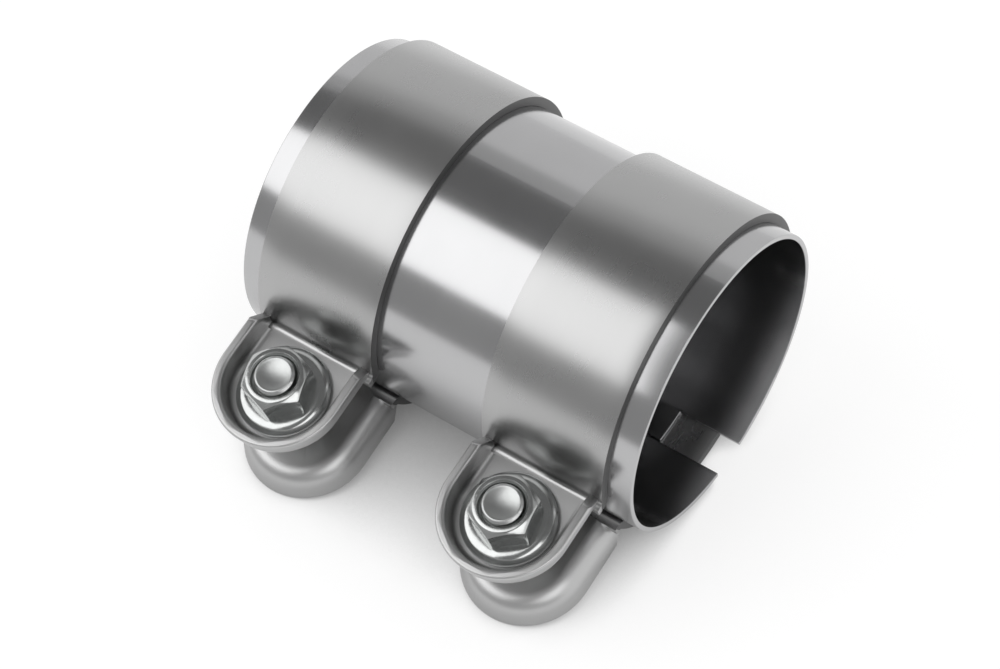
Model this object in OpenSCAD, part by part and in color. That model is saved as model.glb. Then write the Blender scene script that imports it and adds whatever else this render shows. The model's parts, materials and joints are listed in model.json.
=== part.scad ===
// Double exhaust slip clamp: a rolled sleeve over the ends of two pipes, and two
// bands round it. Each band ends in a pair of dished ears that a flange bolt and a
// flange nut draw together.
// The origin is on the sleeve's axis at its mid-length. +X runs along the sleeve,
// +Z is up, and the ears point towards -Y and downwards.
// The clamp rests on its two bands and on the rims of the lower ears.

/* [Pipe and sleeve] */
// Outside diameter of the pipes that the sleeve joins
pipe_d = 70; // [60:0.5:90]
// Air between a pipe and the sleeve, on the radius
pipe_clear = 0.25; // [0.1:0.05:0.5]
// Thickness of the sleeve's sheet
sleeve_t = 1.2; // [0.8:0.1:1.8]
// Length of the sleeve
sleeve_l = 104; // [98:1:130]
// Chamfer on the inner edge at each end of the sleeve
sleeve_chamfer = 0.4; // [0.2:0.1:0.6]

/* [Seam] */
// Width of the notch at each end of the seam, round the sleeve
notch_w = 9; // [5:0.5:14]
// Length of the notch, along the sleeve
notch_l = 16; // [8:1:22]
// Gap of the seam between the two notches
seam_gap = 0.5; // [0.3:0.1:1.5]
// Angle of the notch's middle from straight down, away from the ears
notch_turn = 11; // [0:1:30]

/* [Bands] */
// Width of each band
band_w = 30; // [24:0.5:34]
// Thickness of the bands' sheet
band_t = 2.2; // [1.6:0.1:2.8]
// Air between the sleeve and a band, on the radius
band_clear = 0.05; // [0.02:0.01:0.1]
// Bare sleeve left between each end of it and the nearer band
end_bare = 6.5; // [4:0.5:10]

/* [Ears] */
// Distance of the bolt's axis from the outside of the band
bolt_reach = 12.5; // [12.2:0.1:18]
// Outside radius of an ear's round end at the edge of its rim, and half of its width there
tray_r = 15.6; // [15.4:0.1:17.5]
// Gap between the two ears of a band
ear_gap = 15.4; // [10:0.2:17]
// How far the plane midway between the ears passes under the sleeve's axis
ear_drop = 4.5; // [0:0.1:6]
// Height of an ear's rim above the face that the nut sits on
rim_h = 5.5; // [5:0.1:7.5]
// Angle by which the rim leans outwards
rim_lean = 11; // [4:1:14]
// Inside radius of the bend between an ear's floor and its rim
rim_bend = 1.5; // [1:0.1:1.6]
// Outside radius of the crease between the band and an ear
crease_r = 1.8; // [1.5:0.1:2]
// Plain floor left between the crease and the dished part of an ear
tray_relief = 0.6; // [0.2:0.1:1.5]
// Length over which the rim runs out at 45 degrees before the crease
rim_run = 2.1; // [1:0.1:3]
// Diameter of the bolt holes
hole_d = 11; // [10.6:0.1:12]

/* [Bolts and nuts] */
// Diameter of the thread
thread_d = 10; // [9.8:0.1:10.2]
// Length of the bolt under its head
bolt_l = 30; // [30:1:45]
// Width across the flats of both hexagons
hex_af = 14; // [13.5:0.5:16]
// Height of the bolt's head with its flange
head_h = 8.2; // [7:0.1:8.4]
// Diameter of the flange on the bolt's head
head_flange_d = 21.8; // [19:0.1:22]
// Height of the nut with its flange
nut_h = 9.6; // [8:0.1:10]
// Diameter of the nut's flange
nut_flange_d = 21.8; // [19:0.1:22]
// Thickness of both flanges at their edge
flange_t = 1.8; // [1.4:0.1:2.2]
// Flat face on the end of a hexagon, as a share of the width across its flats
hex_face = 0.93; // [0.85:0.01:0.95]
// Air between the nut and the bolt, on the radius
thread_clear = 0.05; // [0.03:0.01:0.1]
// How far the left nut is turned, from a corner pointing along the sleeve
left_nut_turn = 44; // [0:1:59]
// How far the right nut is turned
right_nut_turn = 38; // [0:1:59]

/* [Hidden] */
$fn = 96;
eps = 0.5;
// Angle by which a curved part runs on into its neighbour, so that no slit is left there
lap = 0.03;

sleeve_ir = pipe_d/2 + pipe_clear;
sleeve_or = sleeve_ir + sleeve_t;
band_ir = sleeve_or + band_clear;
band_or = band_ir + band_t;

// Half of the notch's angle, and the direction of its middle in the plane of Y and Z
notch_half = notch_w/sleeve_ir*90/PI;
notch_dir = 270 + notch_turn;
// The seam lies at the notch's side nearest to the ears
seam_half = seam_gap/sleeve_ir*90/PI;
seam_dir = notch_dir - notch_half + seam_half;
notch_start = sleeve_l/2 - notch_l;
seam_reach = 1.3*sleeve_or;

// Heights above the plane midway between a band's two ears
floor_in = ear_gap/2;
seat = floor_in + band_t;
rim_top = seat + rim_h;

// The bolt's axis from the sleeve's axis
bolt_out = band_or + bolt_reach;

// The creases of the upper (1) and lower (-1) ear: their centres' height and distance
// from the sleeve's axis along the ears, and the angle there at which the ring ends
crease_reach = band_or + crease_r;
function crease_z(side) = side*(seat + crease_r) - ear_drop;
function crease_out(side) = sqrt(pow(crease_reach, 2) - pow(crease_z(side), 2));
function ring_end(side) = asin(crease_z(side)/crease_reach);

// The ears hang down just so far that the lower rims meet the plane under the bands
rim_far = bolt_out + tray_r;
rim_low = rim_top + ear_drop;
ear_tilt = asin(band_or/norm([rim_far, rim_low])) - atan2(rim_low, rim_far);

hex_r = hex_af/sqrt(3);
hex_face_r = hex_face*hex_af/2;
shank_r = thread_d/2 - thread_clear;
nut_bore_r = thread_d/2;
shank_chamfer = 1;
bore_chamfer = 0.7;
flange_slope = 25;
hex_chamfer = 30;

right_x = sleeve_l/2 - end_bare - band_w/2;
left_x = -right_x;

steel = "#b9bcc0";
zinc = "#d3d6d8";

// Carries a section drawn in Y and Z along the X axis, centred on it
module along_x(length) {
    rotate([90, 0, 90])
        linear_extrude(height = length, center = true)
            children();
}

// A wedge in the plane with its point at the origin, from one direction to another
module wedge(from, to, reach) {
    mid = (from + to)/2;
    polygon([
        [0, 0],
        reach*[cos(from), sin(from)],
        reach*[cos(mid), sin(mid)],
        reach*[cos(to), sin(to)]
    ]);
}

// A bend in sheet of thickness t: part of a ring round the origin
module bend(inner, t, from, to) {
    intersection() {
        difference() {
            circle(r = inner + t);
            circle(r = inner);
        }
        wedge(from, to, 2*(inner + t));
    }
}

// Removes a wedge of the sleeve between two places along it
module seam_cut(dir, half, x_from, x_to) {
    translate([(x_from + x_to)/2, 0, 0])
        along_x(x_to - x_from)
            wedge(dir - half, dir + half, seam_reach);
}

// The sleeve: sheet rolled to a tube, with a notch at each end of its open seam
module sleeve() {
    half = sleeve_l/2;
    color(steel)
        difference() {
            rotate([0, 90, 0])
                rotate_extrude()
                    polygon([
                        [sleeve_ir + sleeve_chamfer, -half],
                        [sleeve_or, -half],
                        [sleeve_or, half],
                        [sleeve_ir + sleeve_chamfer, half],
                        [sleeve_ir, half - sleeve_chamfer],
                        [sleeve_ir, -half + sleeve_chamfer]
                    ]);
            seam_cut(notch_dir, notch_half, notch_start, half + eps);
            seam_cut(notch_dir, notch_half, -half - eps, -notch_start);
            seam_cut(seam_dir, seam_half, -notch_start - eps, notch_start + eps);
        }
}

// The band's section: an open ring and the creases that turn out of it into the ears
module band_section() {
    difference() {
        circle(r = band_or);
        circle(r = band_ir);
        wedge(180 - ring_end(1) + lap, 180 - ring_end(-1) - lap, 2*band_or);
    }
    translate([-crease_out(1), crease_z(1)])
        bend(crease_r, band_t, -90 - lap, -ring_end(1));
    translate([-crease_out(-1), crease_z(-1)])
        bend(crease_r, band_t, -ring_end(-1), 90 + lap);
}

// Half of a tray's section: its floor out to the bend, the bend and the leaning rim,
// which is trimmed level
module tray_section() {
    rim_rise = rim_h - rim_bend;
    bend_at = tray_r - (rim_bend + band_t)/cos(rim_lean) - rim_rise*tan(rim_lean);
    translate([0, floor_in])
        square([bend_at, band_t]);
    intersection() {
        translate([bend_at, seat + rim_bend])
            rotate(-rim_lean) {
                bend(rim_bend, band_t, rim_lean - 90 - lap, 0);
                translate([rim_bend, 0])
                    square([band_t, 2*rim_h]);
            }
        square([tray_r + eps, rim_top]);
    }
}

// How far an ear's straight sides reach, seen from the side: all of them as far as the
// plain floor, and beyond it the rim alone, which runs out at 45 degrees over the crease
module side_reach(crease_at) {
    floor_end = crease_at - tray_relief;
    over_crease = crease_r + eps;
    polygon([
        [0, 0],
        [floor_end, 0],
        [floor_end, seat - band_t/2],
        [crease_at + over_crease, seat - band_t/2],
        [crease_at + over_crease, rim_top - rim_run - over_crease],
        [crease_at - rim_run, rim_top],
        [crease_at - rim_run, rim_top + eps],
        [0, rim_top + eps]
    ]);
}

// One ear, round the bolt's axis: a dished tray that is open towards the band, and
// the strip of plain floor that joins it to its crease
module ear(crease_out) {
    crease_at = bolt_out - crease_out;
    side_l = crease_at + 2*crease_r;
    difference() {
        union() {
            rotate([0, 0, 180])
                rotate_extrude(angle = 180)
                    tray_section();
            intersection() {
                translate([0, side_l, 0])
                    rotate([90, 0, 0])
                        linear_extrude(height = side_l) {
                            tray_section();
                            mirror([1, 0])
                                tray_section();
                        }
                along_x(2*tray_r + 2*eps)
                    side_reach(crease_at);
            }
            translate([-band_w/2, crease_at - tray_relief, floor_in])
                cube([band_w, tray_relief, band_t]);
        }
        cylinder(r = hole_d/2, h = 3*rim_top, center = true);
    }
}

// A band with both its ears, pressed and rolled from one strip
module band() {
    rotate([ear_tilt, 0, 0]) {
        along_x(band_w)
            band_section();
        translate([0, -bolt_out, -ear_drop]) {
            ear(crease_out(1));
            mirror([0, 0, 1])
                ear(crease_out(-1));
        }
    }
}

// Puts a bolt or a nut on its axis through the ears
module on_bolt_axis() {
    rotate([ear_tilt, 0, 0])
        translate([0, -bolt_out, -ear_drop])
            children();
}

// A hexagon that stands on its flange, with the corners of its far end chamfered
module flanged_hex(height, flange_d) {
    flange_r = flange_d/2;
    cone_h = (flange_r - hex_af/2)*tan(flange_slope);
    corner_h = (hex_r - hex_face_r)*tan(hex_chamfer);
    rotate_extrude()
        polygon([
            [0, 0],
            [flange_r, 0],
            [flange_r, flange_t],
            [hex_af/2, flange_t + cone_h],
            [0, flange_t + cone_h]
        ]);
    intersection() {
        cylinder(r = hex_r, h = height, $fn = 6);
        rotate_extrude()
            polygon([
                [0, 0],
                [hex_r, 0],
                [hex_r, height - corner_h],
                [hex_face_r, height],
                [0, height]
            ]);
    }
}

// Flange bolt: its head hangs under the lower ear, and its shank passes through both
module flange_bolt() {
    color(zinc)
        on_bolt_axis()
            translate([0, 0, -seat]) {
                mirror([0, 0, 1])
                    flanged_hex(head_h, head_flange_d);
                rotate_extrude()
                    polygon([
                        [0, -eps],
                        [shank_r, -eps],
                        [shank_r, bolt_l - shank_chamfer],
                        [shank_r - shank_chamfer, bolt_l],
                        [0, bolt_l]
                    ]);
            }
}

// Flange nut: it sits on the upper ear, with its bore open at both ends
module flange_nut(turn) {
    color(zinc)
        on_bolt_axis()
            translate([0, 0, seat])
                rotate([0, 0, turn])
                    difference() {
                        flanged_hex(nut_h, nut_flange_d);
                        rotate_extrude()
                            polygon([
                                [0, -eps],
                                [nut_bore_r + bore_chamfer + eps, -eps],
                                [nut_bore_r, bore_chamfer],
                                [nut_bore_r, nut_h - bore_chamfer],
                                [nut_bore_r + bore_chamfer + eps, nut_h + eps],
                                [0, nut_h + eps]
                            ]);
                    }
}

module left_band() {
    translate([left_x, 0, 0])
        color(steel)
            band();
}

module right_band() {
    translate([right_x, 0, 0])
        color(steel)
            band();
}

module left_bolt() {
    translate([left_x, 0, 0])
        flange_bolt();
}

module right_bolt() {
    translate([right_x, 0, 0])
        flange_bolt();
}

module left_nut() {
    translate([left_x, 0, 0])
        flange_nut(left_nut_turn);
}

module right_nut() {
    translate([right_x, 0, 0])
        flange_nut(right_nut_turn);
}

sleeve();
left_band();
right_band();
left_bolt();
right_bolt();
left_nut();
right_nut();
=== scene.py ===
# %% [markdown]
# Double exhaust slip clamp
# A rolled sleeve slips over the ends of two exhaust pipes, and two bands clamp it there.
# Each band ends in two dished ears that a flange bolt and a flange nut draw together.
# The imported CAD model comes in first. It fixes every size and place, and each piece made
# here stands for one of its solids, with the same form and a finer surface.

# %% Load the frame
import json
import math

import bmesh
import bpy
from mathutils import Matrix, Vector


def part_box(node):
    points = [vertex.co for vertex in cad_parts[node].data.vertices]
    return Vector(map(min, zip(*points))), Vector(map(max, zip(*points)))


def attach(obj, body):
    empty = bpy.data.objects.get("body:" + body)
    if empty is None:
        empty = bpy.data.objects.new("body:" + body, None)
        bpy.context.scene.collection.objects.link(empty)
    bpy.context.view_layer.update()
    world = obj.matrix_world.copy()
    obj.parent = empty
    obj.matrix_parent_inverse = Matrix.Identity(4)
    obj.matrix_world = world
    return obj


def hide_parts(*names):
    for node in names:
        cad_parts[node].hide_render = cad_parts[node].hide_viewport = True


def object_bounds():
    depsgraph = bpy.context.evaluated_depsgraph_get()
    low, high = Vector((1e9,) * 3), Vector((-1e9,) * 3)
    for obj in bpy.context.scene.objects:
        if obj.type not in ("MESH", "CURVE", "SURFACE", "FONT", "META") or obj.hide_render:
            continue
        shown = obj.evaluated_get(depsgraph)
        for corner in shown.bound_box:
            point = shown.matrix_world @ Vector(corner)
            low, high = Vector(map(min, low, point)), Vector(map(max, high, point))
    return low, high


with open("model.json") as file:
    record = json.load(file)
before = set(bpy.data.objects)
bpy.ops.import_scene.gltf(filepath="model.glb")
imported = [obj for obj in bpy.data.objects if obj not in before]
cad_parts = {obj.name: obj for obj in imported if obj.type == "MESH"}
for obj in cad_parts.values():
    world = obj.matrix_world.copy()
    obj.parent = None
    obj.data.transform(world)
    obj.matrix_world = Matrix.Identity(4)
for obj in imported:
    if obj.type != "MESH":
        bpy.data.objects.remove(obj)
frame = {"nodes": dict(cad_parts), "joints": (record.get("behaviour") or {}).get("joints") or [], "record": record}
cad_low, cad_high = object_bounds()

print("nodes", sorted(frame["nodes"]))

# %% [markdown]
# Sizes
# Lengths are in metres, so a value in millimetres is written with mm. What the frame
# knows is read from it, so that scene and solids agree: the sleeve's and bands' boxes, and
# the bolt's axis from its joint. The thickness of the sheet is written out, since a box
# doesn't tell it.

# %% Read the sizes from the frame
mm = 0.001
sleeve_low, sleeve_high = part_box("sleeve")
band_low, band_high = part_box("left_band")
joints = {joint["name"]: joint for joint in frame["joints"]}
bolt_up = Vector(joints["left_nut_travel"]["axis"])
bolt_place = Vector(joints["left_bolt_turn"]["pos_m"])

sleeve_half = (sleeve_high.x - sleeve_low.x)/2
sleeve_out = sleeve_high.y
sleeve_sheet = 1.2*mm
band_half = (band_high.x - band_low.x)/2
band_out = band_high.y
band_sheet = 2.2*mm
band_x = {"left": bolt_place.x, "right": -bolt_place.x}
ear_tilt = math.atan2(-bolt_up.y, bolt_up.z)
level_bolt = Matrix.Rotation(-ear_tilt, 3, "X")@bolt_place
bolt_out = -level_bolt.y
ear_drop = -level_bolt.z
print("ears", round(math.degrees(ear_tilt), 2), "degrees down")
print("bolt", round(bolt_out/mm, 2), "mm out,", round(ear_drop/mm, 2), "mm low")

# %% [markdown]
# Opening and picking
# Every piece starts with nothing selected, because an operator acts on all that is
# selected. In edit mode the parts to shape are picked by where their middle lies. Picking
# by index would do too, but an index changes with every cut, and a place doesn't.

# %% Helpers that open a piece and pick its parts
def start_clean():
    """Leaves edit mode and deselects everything."""
    if bpy.context.mode != "OBJECT":
        bpy.ops.object.mode_set(mode="OBJECT")
    bpy.ops.object.select_all(action="DESELECT")


def choose(piece):
    """Makes one piece the only selected one and the active one."""
    start_clean()
    piece.select_set(True)
    bpy.context.view_layer.objects.active = piece


def edit(piece):
    choose(piece)
    bpy.ops.object.mode_set(mode="EDIT")


def pick(kind, test):
    """Selects the verts, edges or faces whose middle passes the test."""
    bpy.ops.mesh.select_mode(type=kind)
    bpy.ops.mesh.select_all(action="DESELECT")
    shape = bmesh.from_edit_mesh(bpy.context.edit_object.data)
    parts = {"VERT": shape.verts, "EDGE": shape.edges, "FACE": shape.faces}[kind]
    for part in parts:
        corners = [part] if kind == "VERT" else part.verts
        if test(sum((v.co for v in corners), Vector())/len(corners)):
            part.select_set(True)
    shape.select_flush_mode()
    bmesh.update_edit_mesh(bpy.context.edit_object.data)


def near(a, b, close=0.02*mm):
    return abs(a - b) < close


# %% Helpers that weld, slice and finish
def weld(close=0.01*mm):
    """Merges doubles and turns all faces outwards."""
    bpy.ops.mesh.select_all(action="SELECT")
    bpy.ops.mesh.remove_doubles(threshold=close)
    bpy.ops.mesh.normals_make_consistent(inside=False)


def slice_picked(place, normal, **settings):
    """Cuts what is selected along a plane; the default threshold would be 0.1 mm."""
    bpy.ops.mesh.bisect(plane_co=place, plane_no=normal, threshold=0.001*mm, **settings)


def slice_all(place, normal, **settings):
    bpy.ops.mesh.select_all(action="SELECT")
    slice_picked(place, normal, **settings)


def modify(piece, kind, **settings):
    """Adds a modifier to the piece and applies it."""
    choose(piece)
    modifier = piece.modifiers.new(kind.title(), kind)
    for name, value in settings.items():
        setattr(modifier, name, value)
    bpy.ops.object.modifier_apply(modifier=modifier.name)


def round_edges(piece, width, segments, degrees):
    """Bevels the edges that are sharper than so many degrees, as far as there is room.

    The shortest edge clamps the bevel everywhere. The sleeve's comes out at its full
    width. Beside the bands' holes and the threads there is almost no room, so the edges
    of bands, bolts and nuts stay crisp.
    """
    modify(piece, "BEVEL", width=width, segments=segments, limit_method="ANGLE",
           angle_limit=math.radians(degrees))


def smooth(piece, degrees):
    choose(piece)
    bpy.ops.object.shade_smooth_by_angle(angle=math.radians(degrees))


def report(piece):
    print(piece.name, len(piece.data.vertices), "vertices,", len(piece.data.polygons), "faces")


# %% [markdown]
# Round the pipe
# Sleeve and bands are strips rolled round the X axis, so both start as the same circle,
# and both are cut at angles round that axis. An angle is a plane through the axis.

# %% Helpers for what is rolled round the pipe
round_segments = 180


def turn_of(point):
    """The angle of a point round the X axis, from +Y over +Z, in one full turn."""
    return math.atan2(point.z, point.y)%math.tau


def slice_at_turn(turn):
    slice_all((0, 0, 0), (0, -math.sin(turn), math.cos(turn)))


def slice_at_x(x):
    slice_all((x, 0, 0), (1, 0, 0))


def rolled_circle(name, radius, x):
    """A circle round the X axis, open in edit mode."""
    start_clean()
    bpy.ops.mesh.primitive_circle_add(vertices=round_segments, radius=radius,
                                      location=(x, 0, 0), rotation=(0, math.pi/2, 0))
    piece = bpy.context.object
    piece.name = name
    bpy.ops.object.transform_apply(location=True, rotation=True, scale=True)
    bpy.ops.object.mode_set(mode="EDIT")
    return piece


def draw_along(length):
    """Extrudes what is open in edit mode along X."""
    bpy.ops.mesh.select_all(action="SELECT")
    bpy.ops.mesh.extrude_region_move(TRANSFORM_OT_translate={"value": (length, 0, 0)})


# %% [markdown]
# The sleeve
# The real sleeve is one sheet rolled round until its edges meet at the bottom. At each
# end of that seam the sheet is notched, so that the sleeve can close on the pipe. It is
# made the same way: a circle is extruded to a tube, the seam is cut out of it by bisect
# planes, and Solidify gives the sheet its thickness. A cylinder with a Boolean would do
# too, but a cut sheet keeps its clean rows of faces.

# %% Roll the sleeve and cut its seam
sleeve_in = sleeve_out - sleeve_sheet
notch_turn = math.radians(281)
notch_width = 9*mm
notch_length = 16*mm
seam_gap = 0.5*mm
edge_round = 0.3*mm

notch_half_turn = notch_width/2/sleeve_in
notch_start = sleeve_half - notch_length
seam_from = notch_turn - notch_half_turn
seam_to = seam_from + seam_gap/sleeve_in

sleeve = rolled_circle("sleeve_sheet", sleeve_out - sleeve_sheet/2, -sleeve_half)
draw_along(2*sleeve_half)
for turn in (seam_from, seam_to, notch_turn + notch_half_turn):
    slice_at_turn(turn)
for x in (-notch_start, notch_start):
    slice_at_x(x)
pick("FACE", lambda p: abs(p.x) > notch_start and abs(turn_of(p) - notch_turn) < notch_half_turn)
bpy.ops.mesh.delete(type="FACE")
pick("FACE", lambda p: abs(p.x) < notch_start and seam_from < turn_of(p) < seam_to)
bpy.ops.mesh.delete(type="FACE")
weld()
modify(sleeve, "SOLIDIFY", thickness=sleeve_sheet, offset=0, use_even_offset=True)
round_edges(sleeve, edge_round, 3, 40)
smooth(sleeve, 40)
report(sleeve)

# %% [markdown]
# The sizes of an ear
# A band is one pressed strip: a ring, two sharp creases, and an ear after each of them.
# The strip has one thickness all over, so it is drawn as its middle surface, half a sheet
# off each face. The lower ear is bent more softly between its floor and its rim than the
# upper one, as the wide highlight on the real one shows. Side 1 is the upper ear and side
# -1 the lower one.

# %% Work out where creases and bends lie
crease = 1.3*mm
ear_floor = 7.7*mm + band_sheet/2
tray_relief = 0.6*mm
tray_radius = 15.599*mm
rim_height = 5.5*mm
rim_lean = math.radians(11)
rim_bends = {1: 1.6*mm + band_sheet/2, -1: 2.6*mm + band_sheet/2}
rim_run = 2.1*mm
crease_middle = crease + band_sheet/2
seat = ear_floor + band_sheet/2
rim_top = seat + rim_height


def crease_centre(side):
    """The crease's centre: its distance out along the ears, and its height."""
    height = side*(ear_floor + crease_middle) - ear_drop
    return math.sqrt((band_out + crease)**2 - height**2), height


def bend_place(side):
    """The rim's bend: its radius, the straight rise above it, and its start across the ear."""
    bend = rim_bends[side]
    rise = rim_top - ear_floor - bend
    across = (bend + band_sheet/2)/math.cos(rim_lean) + rise*math.tan(rim_lean)
    return bend, rise, tray_radius - across


for side in (1, -1):
    print("side", side, "crease", [round(v/mm, 2) for v in crease_centre(side)],
          "bend", [round(v/mm, 2) for v in bend_place(side)])

# %% [markdown]
# A band's strip
# The strip's middle line comes first, seen along the tube: a ring that is open at the
# ears, and two creases that turn out of it. Each crease is a spin of the ring's end round
# the crease's centre, as a press would fold it there. Extruded along X the line becomes
# the strip. The slices along it give the ears' edges something to be welded to.

# %% Draw the band's line and extrude it
same_turn = 1e-4


def draw_on(step):
    """Draws an edge from the selected vertex."""
    bpy.ops.mesh.extrude_vertices_move(TRANSFORM_OT_translate={"value": step})


def band_strip(name):
    strip = rolled_circle(name, band_out - band_sheet/2, -band_half)
    ends = {}
    for side in (1, -1):
        out, height = crease_centre(side)
        ends[side] = math.pi - math.atan2(height, out)
        slice_at_turn(ends[side])
    pick("VERT", lambda p: ends[1] + same_turn < turn_of(p) < ends[-1] - same_turn)
    bpy.ops.mesh.delete(type="VERT")
    for side in (1, -1):
        out, height = crease_centre(side)
        pick("VERT", lambda p: abs(turn_of(p) - ends[side]) < same_turn)
        bpy.ops.mesh.spin(steps=10, angle=side*(math.pi/2 - side*math.atan2(height, out)),
                          center=(0, -out, height), axis=(1, 0, 0))
        draw_on((0, -tray_relief, 0))
    draw_along(2*band_half)
    slice_at_x(0)
    for side in (1, -1):
        bend_x = bend_place(side)[2]
        for x in (-bend_x, bend_x):
            pick("FACE", lambda p: p.y < 0 and side*(p.z + ear_drop) > 0)
            slice_picked((x, 0, 0), (1, 0, 0))
    weld()
    start_clean()
    return strip


# %% [markdown]
# The ears
# An ear is a shallow tray, dished out of the strip's end. Half of its section is drawn as
# a line: the floor, the bend and the leaning rim. A spin of that line round the bolt's
# axis gives the round end, and an extrusion of the spin's two ends gives the straight
# sides. Beside the band the rim runs out at 45 degrees over the crease. Pushing a tray
# out of a flat face with a soft brush would be quicker, but wouldn't keep its radii.

# %% Spin and extrude an ear
spare = 1*mm
wall_from = seat + 0.3*mm
past_crease = 0.5*mm


def first_point(name, place):
    """A new piece that is one vertex, in edit mode and selected, to be drawn on from."""
    start_clean()
    bpy.ops.mesh.primitive_plane_add(size=mm, location=place)
    piece = bpy.context.object
    piece.name = name
    bpy.ops.object.transform_apply(location=True, rotation=True, scale=True)
    bpy.ops.object.mode_set(mode="EDIT")
    bpy.ops.mesh.select_all(action="SELECT")
    bpy.ops.mesh.merge(type="CENTER")
    bpy.ops.mesh.select_mode(type="VERT")
    bpy.ops.mesh.select_all(action="SELECT")
    return piece


def ear_tray(side):
    crease_at = bolt_out - crease_centre(side)[0]
    floor_end = crease_at - tray_relief
    level = side*ear_floor
    bend, rise, bend_x = bend_place(side)
    lift = rise + spare
    ear = first_point("ear", (0, 0, level))
    draw_on((bend_x, 0, 0))
    bpy.ops.mesh.spin(steps=8, angle=side*(math.pi/2 - rim_lean),
                      center=(bend_x, 0, level + side*bend), axis=(0, 1, 0))
    draw_on((lift*math.tan(rim_lean), 0, side*lift))
    bpy.ops.mesh.select_all(action="SELECT")
    bpy.ops.mesh.spin(steps=40, angle=math.pi, center=(0, 0, 0), axis=(0, 0, 1))
    weld()
    pick("EDGE", lambda p: near(p.y, 0))
    bpy.ops.mesh.extrude_region_move(TRANSFORM_OT_translate={"value": (0, floor_end, 0)})
    pick("EDGE", lambda p: near(p.y, floor_end) and abs(p.z) > wall_from)
    run = tray_relief + crease + past_crease
    bpy.ops.mesh.extrude_region_move(TRANSFORM_OT_translate={"value": (0, run, 0)})
    slice_all((0, crease_at - rim_run, side*rim_top), (0, 1, side), clear_outer=True)
    bpy.ops.mesh.select_all(action="SELECT")
    bpy.ops.transform.translate(value=(0, -bolt_out, -ear_drop))
    start_clean()
    return ear


# %% [markdown]
# One band from strip and ears
# The two ears are joined to the strip and welded into one surface, and Solidify makes it
# sheet. The rims are then cut level, as a press trims them, and their edges are rounded.
# The bolt's hole is the only Boolean, because it goes through both ears at once. The ears
# are modelled level here, and the whole band is tilted when it is copied.

# %% Join, thicken, trim and drill the band
rim_round = 0.7*mm
trim_reach = 2.4*mm
hole_radius = 5.5*mm


def cut(piece, tool, operation):
    """A Boolean of two closed pieces; the tool is used up."""
    modify(piece, "BOOLEAN", object=tool, operation=operation, solver="EXACT")
    bpy.data.objects.remove(tool)


band = band_strip("band_strip")
ears = [ear_tray(1), ear_tray(-1)]
choose(band)
for ear in ears:
    ear.select_set(True)
bpy.ops.object.join()
edit(band)
weld(0.02*mm)
modify(band, "SOLIDIFY", thickness=band_sheet, offset=0, use_even_offset=True)
edit(band)
for side in (1, -1):
    out = crease_centre(side)[0]
    pick("FACE", lambda p: p.y < trim_reach - out and side*(p.z + ear_drop) > 0)
    slice_picked((0, 0, side*rim_top - ear_drop), (0, 0, side), clear_outer=True, use_fill=True)
weld(0.002*mm)
for side in (1, -1):
    pick("EDGE", lambda p: near(p.z, side*rim_top - ear_drop))
    bpy.ops.mesh.bevel(offset=rim_round, segments=4)
start_clean()
bpy.ops.mesh.primitive_cylinder_add(vertices=72, radius=hole_radius, depth=4*rim_top,
                                    location=(0, -bolt_out, -ear_drop))
cut(band, bpy.context.object, "DIFFERENCE")
round_edges(band, edge_round, 3, 40)
smooth(band, 40)
report(band)

# %% [markdown]
# Both bands
# The clamp has the same band twice, so it is modelled once and copied, each copy with its
# own mesh. The mesh is moved and not the object, because the pieces' finishes read their
# place from the object's own coordinates.

# %% Copy the band to the left and the right
def place_mesh(piece, matrix):
    """Moves the mesh itself, so that the object stays at the origin."""
    start_clean()
    piece.data.transform(matrix)
    piece.data.update()


def copy_of(pattern, name, matrix):
    """A copy of a piece with its own mesh, set in its place."""
    choose(pattern)
    bpy.ops.object.duplicate()
    piece = bpy.context.object
    piece.name = name
    place_mesh(piece, matrix)
    report(piece)
    return piece


tilt = Matrix.Rotation(ear_tilt, 4, "X")
bands = {side: copy_of(band, side + "_band_strip", Matrix.Translation((x, 0, 0))@tilt)
         for side, x in band_x.items()}
bpy.data.objects.remove(band)

# %% [markdown]
# The thread
# A thread is one small profile wound up a helix. The Screw modifier winds it, planes cut
# it square at both ends, and the bolt and the nut's bore are both made from it, so that
# the two mesh. Rings stacked on each other would look alike from afar, but they don't
# climb. The pitch is the nut's travel for one turn of the bolt.

# %% Wind a threaded rod
pitch = frame["record"]["behaviour"]["couplings"][0]["ratio"]*math.tau
thread_crest = 4.9*mm
thread_depth = 0.9*mm
root_flat = 0.25*pitch
crest_flat = 0.125*pitch
flank = (pitch - root_flat - crest_flat)/2
thread_steps = 48
print("pitch", round(pitch/mm, 3), "mm")


def threaded_rod(name, low, high, grow=0):
    """A threaded rod round the Z axis from low to high; grow adds to its radius."""
    turns_below = math.ceil(-low/pitch) + 1
    turns = turns_below + math.ceil(high/pitch) + 1
    rod = first_point(name, (thread_crest + grow - thread_depth, 0, -turns_below*pitch))
    draw_on((0, 0, root_flat))
    draw_on((thread_depth, 0, flank))
    draw_on((0, 0, crest_flat))
    draw_on((-thread_depth, 0, flank))
    modify(rod, "SCREW", axis="Z", angle=math.tau, screw_offset=pitch, steps=thread_steps,
           render_steps=thread_steps, iterations=turns)
    edit(rod)
    weld(0.001*mm)
    for z, normal in ((low, 1), (high, -1)):
        slice_all((0, 0, z), (0, 0, normal), use_fill=True, clear_inner=True)
    weld(0.001*mm)
    start_clean()
    return rod


# %% [markdown]
# Turned forms
# Point, chamfer, flange and countersink are all turned on a lathe, so one helper makes
# them from a list of rings. It starts as a filled circle, and each next ring is an
# extrusion that is moved up and resized.

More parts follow.
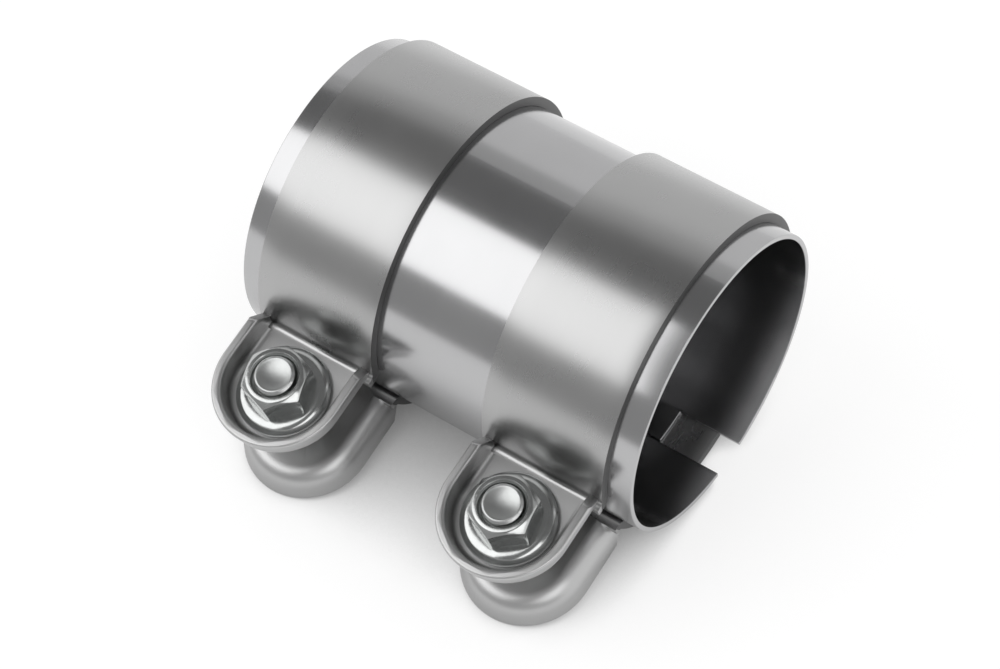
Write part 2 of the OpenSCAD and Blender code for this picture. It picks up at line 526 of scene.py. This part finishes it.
# %% Make a round piece from rings
def turned(name, rings, segments=96):
    """A closed round piece from rings of (radius, height), the first and last filled."""
    start_clean()
    radius, height = rings[0]
    bpy.ops.mesh.primitive_circle_add(vertices=segments, radius=radius,
                                      location=(0, 0, height), fill_type="NGON")
    piece = bpy.context.object
    piece.name = name
    bpy.ops.object.transform_apply(location=True, rotation=True, scale=True)
    bpy.ops.object.mode_set(mode="EDIT")
    bpy.ops.mesh.select_all(action="SELECT")
    for next_radius, next_height in rings[1:]:
        step = (0, 0, next_height - height)
        bpy.ops.mesh.extrude_region_move(TRANSFORM_OT_translate={"value": step})
        grow = next_radius/radius
        bpy.ops.transform.resize(value=(grow, grow, 1), center_override=(0, 0, next_height))
        radius, height = next_radius, next_height
    weld()
    start_clean()
    return piece


# %% [markdown]
# The hexagon on its flange
# Bolt head and nut have the same form: a hexagonal prism on a round flange. The prism is
# a six-sided cylinder with bevelled corners. Its chamfer comes from meeting it with a
# turned envelope, which leaves the curved edges that a real chamfered nut has on its
# flats. The flange is a low dome: steep at its edge and nearly level at the hexagon.

# %% Make the hexagon and its flange
hex_flats = 14*mm
hex_corner = hex_flats/math.sqrt(3)
hex_chamfer = math.radians(42)
chamfer_radius = 0.93*hex_flats/2
corner_round = 0.3*mm
flange_radius = 10.9*mm
flange_edge = 2.5*mm
flange_round = 2.6*mm
flange_slope = 65


def chamfered_hexagon(name, height, turn):
    start_clean()
    bpy.ops.mesh.primitive_cylinder_add(vertices=6, radius=hex_corner, depth=height,
                                        location=(0, 0, height/2),
                                        rotation=(0, 0, turn - math.pi/2))
    piece = bpy.context.object
    piece.name = name
    bpy.ops.object.transform_apply(location=True, rotation=True, scale=True)
    edit(piece)
    pick("EDGE", lambda p: near(p.z, height/2))
    bpy.ops.mesh.bevel(offset=corner_round, segments=3)
    outside = hex_corner + mm
    shoulder = height - (outside - chamfer_radius)*math.tan(hex_chamfer)
    envelope = turned("envelope", [(outside, -mm),
                                   (outside, shoulder),
                                   (chamfer_radius + 0.08*mm, height - 0.07*mm),
                                   (chamfer_radius - 0.15*mm, height),
                                   (chamfer_radius*0.5, height)])
    cut(piece, envelope, "INTERSECT")
    return piece


def domed_flange():
    foot = math.sin(math.radians(flange_slope))
    rings = [(flange_radius - edge_round, 0), (flange_radius, edge_round)]
    for degrees in range(flange_slope, 0, -6):
        slope = math.radians(degrees)
        rings.append((flange_radius - flange_round*(foot - math.sin(slope)),
                      flange_edge - flange_round*(1 - math.cos(slope))))
    rings.append((hex_flats/2 - 0.6*mm, flange_edge + 0.25*mm))
    return turned("flange", rings)


def flanged_hexagon(name, height, turn):
    """The hexagon stands on z = 0 and points up."""
    piece = chamfered_hexagon(name, height, turn)
    cut(piece, domed_flange(), "UNION")
    return piece


# %% [markdown]
# The bolts
# A bolt is the hexagon upside down under the lower ear, with the threaded rod up through
# both ears. The real tip is forged: a short plain point, narrower than the thread, with a
# shallow dish in its face. The rod is met with a turned envelope that has the dish in its
# last rings. All this stands round the Z axis, and each copy is set on its own axis.

# %% Make the bolt and copy it
head_height = 8.2*mm
bolt_length = 30*mm
bolt_tip = bolt_length - seat
dish_radius = 3.9*mm
dish_sphere = 12*mm
on_axis = tilt@Matrix.Translation((0, -bolt_out, -ear_drop))

bolt = flanged_hexagon("flange_bolt", head_height, 0)
place_mesh(bolt, Matrix.Translation((0, 0, -seat))@Matrix.Rotation(math.pi, 4, "X"))
rod = threaded_rod("rod", -seat - 2*mm, bolt_tip + mm)
outside_thread = 5.5*mm
point_radius = 4.55*mm
point = [(outside_thread, -seat - mm),
         (outside_thread, bolt_tip - 2.6*mm),
         (point_radius, bolt_tip - 1.7*mm),
         (point_radius, bolt_tip - 0.35*mm),
         (point_radius - 0.1*mm, bolt_tip - 0.15*mm),
         (point_radius - 0.35*mm, bolt_tip),
         (dish_radius, bolt_tip)]
dish_centre = bolt_tip + math.sqrt(dish_sphere**2 - dish_radius**2)
for step in range(7, 0, -1):
    radius = dish_radius*step/8
    point.append((radius, dish_centre - math.sqrt(dish_sphere**2 - radius**2)))
cut(rod, turned("rod_envelope", point), "INTERSECT")
cut(bolt, rod, "UNION")
round_edges(bolt, 0.1*mm, 2, 50)
smooth(bolt, 35)

bolts = {side: copy_of(bolt, side + "_flange_bolt", Matrix.Translation((x, 0, 0))@on_axis)
         for side, x in band_x.items()}
bpy.data.objects.remove(bolt)

# %% [markdown]
# The nuts
# A nut is the hexagon on the upper ear, with the rod taken out of it and a countersink at
# both ends of its bore. The bore is a little wider than the bolt, so that the threads
# mesh without touching. The two real nuts stopped at slightly different angles. The
# pattern has the angle between, and each copy is turned by the few degrees that remain.

# %% Make the nut and copy it
nut_height = 9.6*mm
nut_turns = {"left": math.radians(44), "right": math.radians(38)}
middle_turn = sum(nut_turns.values())/2
thread_play = 0.08*mm
sink_radius = 5.7*mm
sink_depth = 1.7*mm
past_face = 0.5*mm

nut = flanged_hexagon("flange_nut", nut_height, middle_turn)
bore = threaded_rod("bore", seat - 3*mm, seat + nut_height + 3*mm, grow=thread_play)
place_mesh(bore, Matrix.Translation((0, 0, -seat)))
for z, flip in ((nut_height, 0), (0, math.pi)):
    sink = turned("countersink", [(sink_radius - sink_depth, -sink_depth), (sink_radius, 0),
                                  (sink_radius + past_face, past_face)])
    place_mesh(sink, Matrix.Translation((0, 0, z))@Matrix.Rotation(flip, 4, "X"))
    cut(bore, sink, "UNION")
cut(nut, bore, "DIFFERENCE")
round_edges(nut, 0.12*mm, 2, 50)
smooth(nut, 35)

nuts = {}
for side, x in band_x.items():
    seated = Matrix.Translation((x, 0, 0))@on_axis@Matrix.Translation((0, 0, seat))
    turned_on = Matrix.Rotation(nut_turns[side] - middle_turn, 4, "Z")
    nuts[side] = copy_of(nut, side + "_flange_nut", seated@turned_on)
bpy.data.objects.remove(nut)

# %% [markdown]
# Shader maths
# A small class wraps a socket, so that masks and mixes read as ordinary sums. Every other
# node comes from one function, which takes its kind, its settings and its inputs.

# %% The socket class and the node function
class Value:
    """A shader socket that can be added, multiplied and so on."""

    def __init__(self, tree, socket):
        self.tree, self.socket = tree, socket

    def maths(self, operation, *others):
        return node(self.tree, "ShaderNodeMath", {"operation": operation}, self, *others)

    def __add__(self, other):
        return self.maths("ADD", other)

    def __sub__(self, other):
        return self.maths("SUBTRACT", other)

    def __mul__(self, other):
        return self.maths("MULTIPLY", other)

    def __rsub__(self, other):
        return node(self.tree, "ShaderNodeMath", {"operation": "SUBTRACT"}, other, self)

    __radd__ = __add__
    __rmul__ = __mul__


def node(tree, kind, settings, *inputs, output=0, **named):
    """Adds a node: its settings first, then its inputs by order, by name or by number."""
    made = tree.nodes.new(kind)
    for name, value in settings.items():
        setattr(made, name, value)
    pairs = list(enumerate(inputs))
    for name, value in named.items():
        pairs.append((int(name) if name.isdigit() else name.replace("_", " "), value))
    for key, value in pairs:
        if isinstance(value, Value):
            tree.links.new(value.socket, made.inputs[key])
        else:
            made.inputs[key].default_value = value
    return Value(tree, made.outputs[output])


def mixed(tree, factor, low, high):
    """A mix of two colours; each is a socket, three numbers or one grey."""
    ends = []
    for colour in (low, high):
        if not isinstance(colour, (Value, tuple)):
            colour = (colour, colour, colour)
        ends.append(colour if isinstance(colour, Value) else (*colour, 1))
    return node(tree, "ShaderNodeMix", {"data_type": "RGBA"}, factor, output=2,
                **{"6": ends[0], "7": ends[1]})


# %% Start a material, and link what varies
def new_material(name, metallic=0.0):
    material = bpy.data.materials.new(name)
    material.use_nodes = True
    tree = material.node_tree
    shader = tree.nodes["Principled BSDF"]
    shader.inputs["Metallic"].default_value = metallic
    return material, tree, shader


def link_to(tree, shader, **sockets):
    """Links values to the shader's sockets, by their names."""
    for name, value in sockets.items():
        tree.links.new(value.socket, shader.inputs[name.replace("_", " ")])


def tinted(colour, share):
    return tuple(c*share for c in colour)


# %% [markdown]
# Steel sheet
# The sleeve is bright rolled sheet, and the bands are cut from satin strip. Both are a
# little cloudy and carry faint marks that run round with the rolling: a noise that is
# stretched along the strip. A band shows two more states of the same steel. Its cut edges
# are rough from the shear, and painted dark: partly the darker cut steel, partly painted
# shade of the narrow gap beside them. Its ears are duller and lighter where the press drew
# them. The edges are found by the way they face, and the ears by their distance from the axis.

# %% Make the sheet finishes
ring_radius = 39*mm
drawn_radius = ring_radius + 4*mm
facing_x = 0.8
# The cut edges' dark tone is partly the cut steel's own and partly painted shade of the gap beside them.
sheared_tone_and_gap_shade, sheared_rough = 0.38, 0.25
drawn_shade, drawn_rough = 1.2, 0.1


def sheet_steel(name, colour, gloss, cloud, pressed=False):
    material, tree, shader = new_material(name, metallic=1.0)
    place = node(tree, "ShaderNodeTexCoord", {}, output="Object")
    rolled = node(tree, "ShaderNodeMapping", {}, place, Scale=(1.0, 0.06, 0.06))
    blotch = node(tree, "ShaderNodeTexNoise", {}, Vector=place, Scale=70.0, Detail=4.0)
    grain = node(tree, "ShaderNodeTexNoise", {}, Vector=rolled, Scale=900.0, Detail=1.0)
    shine = mixed(tree, blotch, tinted(colour, 0.95), tinted(colour, 1.05))
    rough = gloss + cloud*(blotch - 0.5) + 0.3*cloud*(grain - 0.5)
    if pressed:
        facing = node(tree, "ShaderNodeTexCoord", {}, output="Normal")
        along = node(tree, "ShaderNodeSeparateXYZ", {}, facing).maths("ABSOLUTE")
        section = node(tree, "ShaderNodeMapping", {}, place, Scale=(0.0, 1.0, 1.0))
        radius = node(tree, "ShaderNodeVectorMath", {"operation": "LENGTH"}, section,
                      output="Value")
        edge_sheared_and_gap_shaded = along.maths("GREATER_THAN", facing_x)*radius.maths("LESS_THAN", ring_radius)
        drawn = node(tree, "ShaderNodeMapRange", {}, Value=radius, From_Min=ring_radius,
                     From_Max=drawn_radius)
        # Painted shade on the band's cut edges, together with their own darker cut steel.
        shine = mixed(tree, edge_sheared_and_gap_shaded, shine, tinted(colour, sheared_tone_and_gap_shade))
        shine = mixed(tree, drawn, shine, tinted(colour, drawn_shade))
        rough = rough + sheared_rough*edge_sheared_and_gap_shaded + drawn_rough*drawn
    link_to(tree, shader, Base_Color=shine, Roughness=rough)
    print(name, len(tree.nodes), "nodes")
    return material


sleeve_finish = sheet_steel("sleeve_steel", (0.46, 0.46, 0.465), 0.18, 0.06)
band_finish = sheet_steel("band_steel", (0.42, 0.42, 0.42), 0.28, 0.06, pressed=True)

# %% [markdown]
# Zinc plate
# Bolts and nuts are forged steel with a thin bright coat of zinc, a little greener than
# the sheet. Forging never leaves a face quite flat, so a low bump dents it and the colour
# goes with the dents. The nuts are glossier than the bolts, whose points are as forged.

# %% Make the plated finishes
zinc = (0.5, 0.51, 0.505)


def plated_steel(name, gloss):
    material, tree, shader = new_material(name, metallic=1.0)
    place = node(tree, "ShaderNodeTexCoord", {}, output="Object")
    dents = node(tree, "ShaderNodeTexNoise", {}, Vector=place, Scale=250.0, Detail=2.0)
    speck = node(tree, "ShaderNodeTexNoise", {}, Vector=place, Scale=1500.0, Detail=2.0)
    shine = mixed(tree, dents, tinted(zinc, 0.85), tinted(zinc, 1.1))
    rough = gloss + 0.12*(speck - 0.5)
    dented = node(tree, "ShaderNodeBump", {}, Strength=0.15, Distance=0.3*mm, Height=dents)
    link_to(tree, shader, Base_Color=shine, Roughness=rough, Normal=dented)
    print(name, len(tree.nodes), "nodes")
    return material


nut_finish = plated_steel("nut_zinc", 0.18)
bolt_finish = plated_steel("bolt_zinc", 0.33)

# %% [markdown]
# Dressing the frame
# Each piece rides on its body, so that it moves with it in every pose. It stands for its
# CAD solid, which is hidden from then on, and takes its finish.

# %% Dress the pieces
def dress(piece, material, body, cad_node):
    piece.data.materials.clear()
    piece.data.materials.append(material)
    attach(piece, body)
    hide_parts(cad_node)
    print(piece.name, "rides on", body)


dress(sleeve, sleeve_finish, "clamp", "sleeve")
for side in ("left", "right"):
    dress(bands[side], band_finish, "clamp", side + "_band")
    dress(bolts[side], bolt_finish, side + "_bolt", side + "_bolt")
    dress(nuts[side], nut_finish, side + "_nut", side + "_nut")

# %% [markdown]
# The floor
# The clamp lies on pale paper. It is seen as white, because it glows a little for
# the camera, for gloss and for glass, while the light that it gives to other surfaces
# comes from its plain pale colour. More lamps would make it white too, but they would
# bleach the steel. Ambient occlusion takes the glow away under the clamp, which leaves
# the soft contact shadow.

# %% Lay the floor
scene = bpy.context.scene
scene.view_settings.view_transform = "Standard"
start_clean()
bpy.ops.mesh.primitive_plane_add(size=6, location=(0, 0, cad_low.z))
floor = bpy.context.object
floor.name = "floor"


def ray_kinds(tree):
    """1 or 0 for a ray from the camera, and for one from the camera, gloss or glass."""
    rays = tree.nodes.new("ShaderNodeLightPath")
    camera_ray, glossy_ray, clear_ray = (
        Value(tree, rays.outputs[name])
        for name in ("Is Camera Ray", "Is Glossy Ray", "Is Transmission Ray"))
    return camera_ray, camera_ray + glossy_ray + clear_ray


paper, tree, shader = new_material("floor_paper")
open_sky = node(tree, "ShaderNodeAmbientOcclusion", {"samples": 16}, output=1, Distance=0.045)
camera_ray, seen = ray_kinds(tree)
open_sky = node(tree, "ShaderNodeMath", {"operation": "MULTIPLY", "use_clamp": True},
                open_sky, 1.0 + 0.6*camera_ray)
link_to(tree, shader, Base_Color=mixed(tree, seen, 0.75, 0.35),
        Emission_Color=mixed(tree, seen*open_sky, 0.0, 0.7))
shader.inputs["Emission Strength"].default_value = 1.0
shader.inputs["Roughness"].default_value = 0.9
shader.inputs["Specular IOR Level"].default_value = 0.0
floor.data.materials.append(paper)
print("floor at", round(cad_low.z/mm, 2), "mm")

# %% [markdown]
# Softboxes and cards
# Bright steel has no look of its own: it shows what stands round it. In the studio that
# was a long softbox over the clamp's front side, broken where the camera stood, and grey
# card before, above and behind it. Lamps and cards lie along the tube, each over a range
# of angles round it, because that is how the bands of light on the sleeve are placed. The
# cards are seen by reflections alone, so they neither light nor shade the clamp.

# %% Hang the softboxes
def panel_round_tube(turn_from, turn_to, distance, x_from, x_to):
    """Length, height, place and rotation of a panel that fills angles in degrees above -Y."""
    turn = math.radians((turn_from + turn_to)/2)
    height = 2*distance*math.tan(math.radians((turn_to - turn_from)/2))
    place = ((x_from + x_to)/2, -distance*math.cos(turn), distance*math.sin(turn))
    toward = Vector((0, math.cos(turn), -math.sin(turn)))
    return x_to - x_from, height, place, toward.to_track_quat("-Z", "Y").to_euler()


def softbox(name, radiance, *panel):
    length, height, place, rotation = panel_round_tube(*panel)
    light = bpy.data.lights.new(name, "AREA")
    light.shape = "RECTANGLE"
    light.size, light.size_y = length, height
    light.energy = radiance*math.pi*length*height
    lamp = bpy.data.objects.new(name, light)
    scene.collection.objects.link(lamp)
    lamp.location = place
    lamp.rotation_euler = rotation
    lamp.visible_camera = False
    print(name, round(light.energy, 2), "W")


softbox("softbox", 1.0, 26, 76, 0.7, -1.1, -0.03)
softbox("side_softbox", 1.0, 26, 76, 0.7, 0.34, 0.9)


# %% Stand the cards
def card(name, grey, *panel):
    """A card that only reflections see."""
    length, height, place, rotation = panel_round_tube(*panel)
    start_clean()
    bpy.ops.mesh.primitive_plane_add(size=1)
    piece = bpy.context.object
    piece.name = name
    piece.scale = (length, height, 1)
    piece.location = place
    piece.rotation_euler = rotation
    material = bpy.data.materials.new(name)
    material.use_nodes = True
    tree = material.node_tree
    tree.nodes.remove(tree.nodes["Principled BSDF"])
    glow = node(tree, "ShaderNodeEmission", {}, (grey, grey, grey, 1))
    tree.links.new(glow.socket, tree.nodes["Material Output"].inputs["Surface"])
    piece.data.materials.append(material)
    piece.visible_camera = False
    piece.visible_diffuse = False
    piece.visible_shadow = False
    print(name, "grey", grey)


card("camera_card", 0.25, 24, 78, 0.72, -0.04, 0.35)
card("front_card", 0.42, -9, 26, 0.3, -1.2, 0.8)
card("top_card", 0.2, 77, 116, 0.8, -1.2, 0.8)
card("far_card", 0.55, 115, 131, 0.9, -1.2, 0.8)
card("back_card", 0.85, 130, 185, 1.0, -1.2, 0.8)

# %% [markdown]
# The world
# The rest of the studio is even white light. Surfaces are lit by a little less than
# white, and the camera and the gloss see full white behind the clamp.

# %% Light the world
world = bpy.data.worlds.new("studio")
scene.world = world
world.use_nodes = True
tree = world.node_tree
background = tree.nodes["Background"]
background.inputs["Color"].default_value = (1, 1, 1, 1)
seen = ray_kinds(tree)[1]
link_to(tree, background, Strength=0.8 + 0.2*seen)
print("world", world.name)

# %% [markdown]
# The camera
# It looks down on the clamp from the front and the right, as the photograph does. Its
# place, angles and lens were fitted to the outlines of the sleeve's ends and the bands.

# %% Place the camera
camera_turn = math.radians(34.77)
camera_height = math.radians(50.92)
camera_data = bpy.data.cameras.new("camera")
camera_data.sensor_width = 36
camera_data.lens = 106.7
camera = bpy.data.objects.new("camera", camera_data)
scene.collection.objects.link(camera)
camera.location = Vector((240.5, -356.7, 510.6))*mm
camera.rotation_euler = (math.pi/2 - camera_height, 0, camera_turn)
scene.camera = camera
print("camera", [round(v, 4) for v in camera.location])
